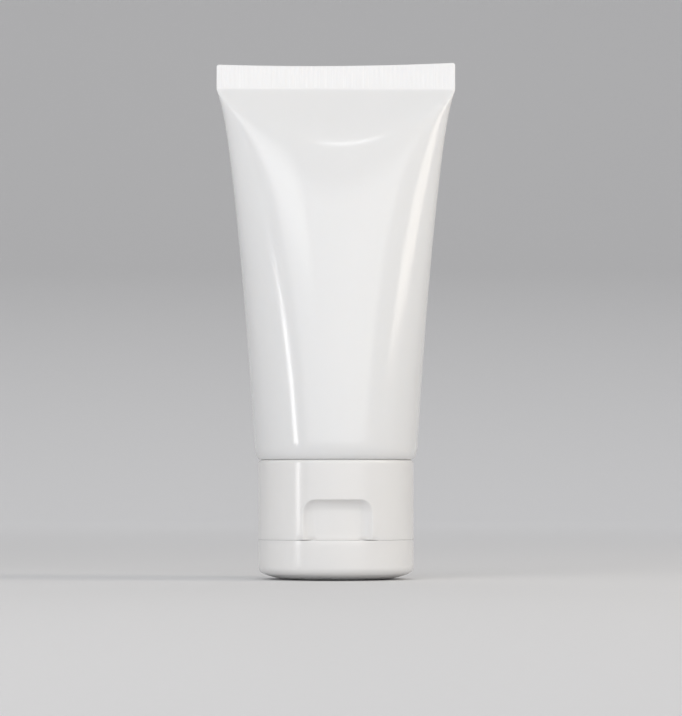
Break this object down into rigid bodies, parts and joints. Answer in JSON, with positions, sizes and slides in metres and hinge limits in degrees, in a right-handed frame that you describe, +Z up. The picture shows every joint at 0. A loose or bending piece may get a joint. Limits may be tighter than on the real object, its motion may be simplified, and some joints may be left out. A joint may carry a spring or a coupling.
{
  "type": "cosmetic squeeze tube",
  "caption": "White plastic squeeze tube for cream, round at the shoulder and sealed flat at the tail, standing on a flip cap with a thumb recess.",
  "frame": {"origin": "centre of the flat lid end that the tube stands on", "axes": "+Z up the tube from lid to tail seal, +X along the tail seal, -Y out of the thumb recess at the front"},
  "size_m": [0.0514, 0.035, 0.1109],
  "materials": {
    "sleeve_film": "gloss",
    "head_plastic": "satin",
    "cap_plastic": "gloss"
  },
  "bodies": {
    "cap": {"cap_base": "cap_plastic"},
    "lid": {"cap_lid": "cap_plastic"},
    "tube": {"sleeve": "sleeve_film", "tube_head": "head_plastic"}
  },
  "joints": [
    {"name": "lid_hinge", "type": "hinge", "parent": "cap", "child": "lid", "pos_m": [0, 0.01697, 0.0085], "axis": [1, 0, 0], "range_deg": [0, 170]},
    {"name": "cap_off", "type": "slide", "parent": "cap", "child": "tube", "axis": [0, 0, 1], "range_m": [0, 0.018]}
  ]
}
